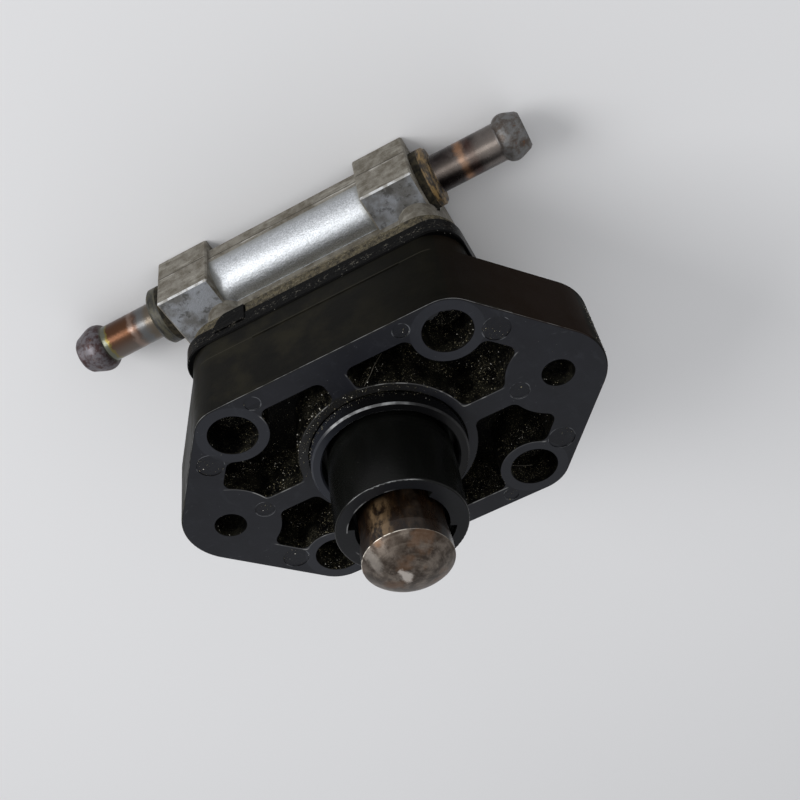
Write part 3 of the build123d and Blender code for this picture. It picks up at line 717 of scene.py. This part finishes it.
def crusted_rubber():
    """Rubber rings under the nipples' shoulders, hidden by the same dark crust."""
    f = Finish("crusted_rubber", paint(60, 50, 34), 0.75)
    mottle = f.noise(1.2, 4, 0.65)
    f.bump(mottle, 0.12)
    colour = f.mix(f.rise(mottle, 0.35, 0.65), paint(18, 16, 12), paint(52, 47, 35))
    return f.finish(Base_Color=colour, Specular_IOR_Level=0.15)


# Other pieces

def dirty_screws():
    """Screw heads under a film of black grease with a few bright grains."""
    f = Finish("dirty_screws", paint(22, 21, 19), 0.6)
    colour = f.mix(f.noise(1.5, 4, 0.7), paint(4, 4, 3), paint(15, 14, 11))
    colour = f.mix(f.specks(0.2, 0.3), colour, paint(118, 114, 99))
    f.bump(f.noise(0.5, 3, 0.6), 0.2)
    return f.finish(Base_Color=colour, Specular_IOR_Level=0.06)


def plain(name, colour, roughness, metallic=0.0, grain=0.02):
    """Simple finish with a little unevenness, for pieces inside the pump."""
    f = Finish(name, colour, roughness, metallic)
    patch = f.noise(2.5, 4, 0.6)
    dull = tuple(level * 0.75 for level in colour[:3]) + (1.0,)
    f.bump(f.noise(0.5, 3, 0.6), grain)
    tone = f.mix(patch, colour, dull)
    return f.finish(Base_Color=tone, Roughness=f.level(patch, roughness, roughness + 0.12))


def dress_all():
    """Every solid gets a finish; those without one of their own are plain steel."""
    wire = plain("spring_wire", paint(150, 150, 152), 0.3, 1.0)
    brass = plain("valve_brass", paint(196, 164, 92), 0.36, 1.0)
    rubber = plain("inner_rubber", paint(26, 26, 26), 0.5, 0.0, 0.04)
    steel = plain("inner_steel", paint(170, 168, 164), 0.34, 1.0)
    groups = {
        moulded_plastic(): ["pump_body"],
        rim_rubber(): ["diaphragm"],
        cast_aluminium(): ["valve_body"],
        stained_steel(): ["plunger"],
        inlet_tube(): ["inlet_nipple"],
        outlet_tube(): ["outlet_nipple"],
        dirty_screws(): ["assembly_screws", "spring_washers"],
        wire: [name for name in nodes if name.endswith("_spring")],
        brass: [name for name in nodes if name.endswith(("valve_seat", "valve_cage"))],
        crusted_rubber(): ["inlet_nipple_seal", "outlet_nipple_seal"],
        rubber: ["rod_seal", "inlet_valve_disc", "outlet_valve_disc"],
    }
    finishes = {name: material for material, names in groups.items() for name in names}
    for name in nodes:
        dress(name, finishes.get(name, steel))


# Meshes of the added pieces

def mesh_of(name, places, faces):
    """Mesh from places in millimetres and their faces."""
    mesh = bpy.data.meshes.new(name)
    mesh.from_pydata((places.reshape(-1, 3) * MM).tolist(), [], faces)
    return mesh


def skin_faces(rows, around, turned=False):
    """Faces of a closed skin over rows of points: four-sided between rows, one cap at each end.

    Turned, every face looks the other way.
    """
    grid = np.arange(rows * around).reshape(rows, around)
    ahead = np.roll(grid, -1, axis=1)
    corners = [grid[:-1], ahead[:-1], ahead[1:], grid[1:]]
    caps = [grid[0][::-1], grid[-1]]
    if turned:
        corners = [corners[0], *corners[:0:-1]]
        caps = [cap[::-1] for cap in caps]
    sides = np.stack(corners, axis=-1).reshape(-1, 4)
    return sides.tolist() + [cap.tolist() for cap in caps]


def place_piece(name, mesh, body):
    """Put an added piece in the scene, on the body it rides with."""
    piece = bpy.data.objects.new(name, mesh)
    bpy.context.scene.collection.objects.link(piece)
    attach(piece, body)


# Grit that lies in the hollows and along the ring

skin_tries = 420000
most_grains = 9500
grit_seed = 7
grit_share = 0.65
smallest_grain = 0.04
grain_range = 0.07
grain_squeeze = 0.3
grain_lift = 0.4


def skin_points(node, count, seed):
    """Random points and normals on a solid's skin, spread evenly by area, in millimetres.

    Each point is a corner of its triangle plus u and v times the two sides from there, and
    points past the third side are folded back.
    """
    draw = np.random.default_rng(seed)
    mesh = nodes[node].data
    mesh.calc_loop_triangles()
    places = np.empty(len(mesh.vertices) * 3, np.float32)
    mesh.vertices.foreach_get("co", places)
    corners = np.empty(len(mesh.loop_triangles) * 3, np.int32)
    mesh.loop_triangles.foreach_get("vertices", corners)
    matrix = np.array(nodes[node].matrix_world)
    places = (places.reshape(-1, 3) @ matrix[:3, :3].T + matrix[:3, 3]) / MM
    a, b, c = np.moveaxis(places[corners.reshape(-1, 3)], 1, 0)
    across = np.cross(b - a, c - a)
    twice_area = np.linalg.norm(across, axis=1)
    normal = across / np.maximum(twice_area, 1e-9)[:, None]
    pick = draw.choice(len(a), count, p=twice_area / twice_area.sum())
    u, v = draw.random((2, count, 1))
    over = u + v > 1
    u, v = np.where(over, 1 - u, u), np.where(over, 1 - v, v)
    return a[pick] + u * (b - a)[pick] + v * (c - a)[pick], normal[pick], draw


def clusters(points, draw, spacing, sharpness):
    """Smooth random weight from 0 to 1 that makes heaps about that far apart.

    It is a sum of cosine waves in random directions, pushed towards 0 or 1 by a logistic curve.
    """
    count = 24
    waves = draw.normal(size=(count, 3)) * (2 / spacing)
    phase = draw.random(count) * 2 * np.pi
    total = np.cos(points @ waves.T + phase).sum(axis=1) / np.sqrt(count / 2)
    return 1 / (1 + np.exp(-sharpness * total))


def grit_weight(points, normals, draw):
    """Chance of a grain: high on walls and rims the dirt slid to, low on clean faces."""
    x, y, z = points.T
    away = np.hypot(x, y)
    slant = np.abs(x) * math.cos(slant_angle) + np.abs(y) * math.sin(slant_angle)
    inside = (np.abs(y) < flat_y - 0.6) & (slant < slant_reach - 1)
    below = (z < -0.15) & (z > pocket_floor - 1)
    hollow = below & (away > face_ring_r - 0.1) & inside
    slide, flat_floor = np.clip(normals @ piled_and_lit, 0, 1), normals[:, 2] > 0.9
    heap = clusters(points, draw, 4.0, 4.5)
    weight = hollow * (0.10 + 0.9 * slide + 0.25 * flat_floor) * heap
    near_ring = (np.abs(z) < 1.2) & (away > step_ring_r - 0.2) & (away < face_ring_r)
    toward = (x * -0.2 + y) / np.maximum(away, 1)
    weight += near_ring * np.clip(toward, 0, 1) ** 1.5 * 0.9
    weight += ((np.abs(z) < 0.02) & (away > face_ring_r)) * 0.0006
    in_mount_hole = np.hypot(np.abs(x) - mount_x, y) < mount_hole_r + 0.15
    return weight * np.where(in_mount_hole, 0.3, 1.0)


def grain_shape():
    """Corners and faces of a 20-sided solid of radius 1."""
    golden = (1 + 5 ** 0.5) / 2
    spots = [(-1, golden, 0), (1, golden, 0), (-1, -golden, 0), (1, -golden, 0)]
    spots += [(0, -1, golden), (0, 1, golden), (0, -1, -golden), (0, 1, -golden)]
    spots += [(golden, 0, -1), (golden, 0, 1), (-golden, 0, -1), (-golden, 0, 1)]
    faces = [(0, 11, 5), (0, 5, 1), (0, 1, 7), (0, 7, 10), (0, 10, 11), (1, 5, 9), (5, 11, 4)]
    faces += [(11, 10, 2), (10, 7, 6), (7, 1, 8), (3, 9, 4), (3, 4, 2), (3, 2, 6), (3, 6, 8)]
    faces += [(3, 8, 9), (4, 9, 5), (2, 4, 11), (6, 2, 10), (8, 6, 7), (9, 8, 1)]
    return np.array(spots) / math.hypot(1, golden), np.array(faces)


def grain_mesh(name, centres, sizes, tones, draw):
    """One mesh of many 20-sided grains, each squeezed a little at random, with its own tone."""
    spots, faces = grain_shape()
    count = len(centres)
    scale = sizes[:, None, None] * (1 + grain_squeeze * draw.uniform(-1, 1, (count, 1, 3)))
    places = centres[:, None, :] + spots[None] * scale
    corners = faces[None] + len(spots) * np.arange(count)[:, None, None]
    mesh = mesh_of(name, places, corners.reshape(-1, 3).tolist())
    tone = mesh.attributes.new("tone", "FLOAT", "POINT")
    tone.data.foreach_set("value", np.repeat(tones, len(spots)).astype(np.float32))
    return mesh


def add_grit():
    """Small grains of sand and scale, thick where they slid to."""
    points, normals, draw = skin_points("pump_body", skin_tries, grit_seed)
    chance = draw.random(len(points))
    keep = chance < grit_weight(points, normals, draw) * grit_share
    points, normals = points[keep][:most_grains], normals[keep][:most_grains]
    sizes = smallest_grain + grain_range * draw.random(len(points)) ** 3
    centres = points + normals * sizes[:, None] * grain_lift
    mesh = grain_mesh("grit", centres, sizes, draw.random(len(points)), draw)
    f = Finish("grit", paint(110, 96, 62), 0.5)
    tone = f.add("ShaderNodeAttribute", attribute_name="tone").outputs["Fac"]
    colour = f.mix(f.rise(tone, 0.3, 0.66), paint(16, 15, 12), paint(66, 62, 48))
    colour = f.mix(f.rise(tone, 0.7, 0.86), colour, paint(148, 140, 112))
    colour = f.mix(f.rise(tone, 0.93, 0.96), colour, paint(228, 225, 214))
    mesh.materials.append(f.finish(Base_Color=colour, Roughness=f.level(tone, 0.6, 0.3)))
    place_piece("grit", mesh, "housing")


# Two fibres and the ragged lip of one screw hole

fibre_r = 0.045
fibre_knots = {
    "fibre_in_hollow": [(8.9, 18.9, -4.6), (7.1, 18.9, -2.4), (5.9, 18.2, -1.5),
                        (4.9, 17.9, -0.6), (3.9, 17.5, 0.12)],
    "fibre_in_hole": [(18.0, -18.8, -1.7), (18.8, -19.3, -1.5), (20.4, -20.3, -1.4),
                      (22.1, -21.4, -1.5)],
}
burr_span = (52, 128)
burr_reach = 1.15
burr_root = 0.12
burr_z = -0.34
burr_half_height = 0.3
burr_top = -0.03


def thread_mesh(name, path, radius, around=6):
    """Round thread along a path: rings square to the path, joined to each other, closed ends."""
    along = np.gradient(path, axis=0)
    along /= np.linalg.norm(along, axis=1)[:, None]
    side = np.cross(along, (0.3, 0.2, 0.93))
    side /= np.linalg.norm(side, axis=1)[:, None]
    lift = np.cross(along, side)
    turn = np.linspace(0, 2 * np.pi, around, endpoint=False)[None, :, None]
    rings = path[:, None] + radius * (np.cos(turn) * side[:, None] + np.sin(turn) * lift[:, None])
    return mesh_of(name, rings, skin_faces(len(path), around))


def smooth_path(knots, steps):
    """Points along a smooth curve through the knots.

    Between knots b and c, with neighbours a and d, the point at t is half of
    2b + (c - a) t + (2a - 5b + 4c - d) t squared + (3b - a - 3c + d) t cubed.
    """
    knots = np.array(knots, float)
    ends = np.vstack([2 * knots[0] - knots[1], knots, 2 * knots[-1] - knots[-2]])
    spans = len(knots) - 1
    a, b, c, d = (ends[first:first + spans, None] for first in range(4))
    t = np.linspace(0, 1, steps, endpoint=False)[None, :, None]
    curve = 0.5 * (2 * b + (c - a) * t + (2 * a - 5 * b + 4 * c - d) * t ** 2
                   + (3 * b - a - 3 * c + d) * t ** 3)
    return np.vstack([curve.reshape(-1, 3), knots[-1:]])


def add_fibres():
    """Two thin fibres caught in the dirt."""
    f = Finish("fibre", paint(90, 86, 74), 0.6)
    lint = f.finish(Base_Color=f.mix(f.noise(0.8), paint(46, 43, 36), paint(88, 84, 72)))
    for name, knots in fibre_knots.items():
        mesh = thread_mesh(name, smooth_path(knots, 10), fibre_r)
        mesh.materials.append(lint)
        place_piece(name, mesh, "housing")


def add_burr():
    """Ragged lip that juts into the hole: a crescent with a rounded section.

    Along the crescent, its reach is a half sine wave times a sum of two ripples. Across it, the
    section is an ellipse from the hole's wall to the reach, cut flat just under the face.
    """
    steps, around = 60, 14
    turn = np.radians(np.linspace(*burr_span, steps))[:, None]
    span = np.linspace(0, 1, steps)[:, None]
    ripple = 0.62 + 0.3 * np.sin(9.5 * span + 1.2) + 0.14 * np.sin(27 * span)
    reach = burr_reach * np.sin(np.pi * span) ** 0.6 * ripple
    section = np.linspace(0, 2 * np.pi, around, endpoint=False)[None, :]
    middle = head_hole_r + burr_root - reach / 2
    radius = middle + (reach / 2 + 0.06) * np.cos(section)
    half_height = burr_half_height * np.sin(np.pi * span) ** 0.3 + 0.01
    z = np.minimum(burr_z + half_height * np.sin(section), burr_top)
    x, y = screw_x + radius * np.cos(turn), screw_y + radius * np.sin(turn)
    mesh = mesh_of("hole_burr", np.stack([x, y, z], axis=-1), skin_faces(steps, around, True))
    mesh.shade_smooth()
    f = Finish("hole_burr", paint(26, 27, 31), 0.5)
    colour = f.mix(f.noise(1.2, 4, 0.7), paint(10, 10, 11), paint(30, 31, 35))
    f.bump(f.noise(0.5, 3, 0.6), 0.08)
    mesh.materials.append(f.finish(Base_Color=colour, Specular_IOR_Level=0.2))
    place_piece("hole_burr", mesh, "housing")


# Floor, light and camera. The floor and the lamps are placed in metres, the camera in millimetres.
# The camera's right, up and back directions give the photograph's viewing angle.

floor_half = 3.0
room_strength = 0.85
lamp_spread = math.radians(110)
photo_lens = 52.306
photo_right = (0.8821777, -0.45206812, 0.1318974)
photo_up = (0.41957456, 0.62736331, -0.65602779)
photo_back = (0.21382166, 0.63407388, 0.7431222)
photo_place = (54.19, 148.06, 161.03)


def pale_floor():
    """Wide floor under the pump."""
    z = cast_bottom * MM
    corners = [(-floor_half, -floor_half, z), (floor_half, -floor_half, z),
               (floor_half, floor_half, z), (-floor_half, floor_half, z)]
    mesh = bpy.data.meshes.new("floor")
    mesh.from_pydata(corners, [], [(0, 1, 2, 3)])
    floor = bpy.data.objects.new("floor", mesh)
    bpy.context.scene.collection.objects.link(floor)
    f = Finish("pale_floor", paint(215, 215, 216), 0.9)
    tone = f.mix(f.noise(260, 2, 0.5), paint(213, 213, 214), paint(218, 218, 219))
    mesh.materials.append(f.finish(Base_Color=tone, Specular_IOR_Level=0.1))


def lamp(name, place, aim, size, power):
    """Square soft light that looks at a point."""
    data = bpy.data.lights.new(name, "AREA")
    data.shape = "SQUARE"
    data.size = size
    data.spread = lamp_spread
    data.energy = power
    light = bpy.data.objects.new(name, data)
    light.location = place
    light.rotation_euler = (Vector(aim) - Vector(place)).to_track_quat("-Z", "Y").to_euler()
    bpy.context.scene.collection.objects.link(light)


def light_room():
    """Even pale room with one large window on the left of the picture."""
    world = bpy.data.worlds.new("room")
    world.use_nodes = True
    background = world.node_tree.nodes["Background"]
    background.inputs["Color"].default_value = paint(228, 229, 231)
    background.inputs["Strength"].default_value = room_strength
    bpy.context.scene.world = world
    lamp("window", (-0.62, 0.62, 0.48), (0, 0, -0.02), size=0.5, power=2.5)
    lamp("fill", (0.1, 0.6, 0.7), (0, 0, 0), size=0.4, power=0.3)


def look_from_photo():
    """Camera at the photograph's viewing angle."""
    data = bpy.data.cameras.new("camera")
    data.lens = photo_lens
    data.sensor_width = 36.0
    data.clip_start = 0.01
    camera = bpy.data.objects.new("camera", data)
    turn = Matrix((photo_right, photo_up, photo_back)).transposed().to_4x4()
    camera.matrix_world = Matrix.Translation(Vector(photo_place) * MM) @ turn
    bpy.context.scene.collection.objects.link(camera)
    bpy.context.scene.camera = camera


dress_all()
add_grit()
add_fibres()
add_burr()
pale_floor()
light_room()
look_from_photo()
bpy.context.scene.view_settings.view_transform = "Standard"
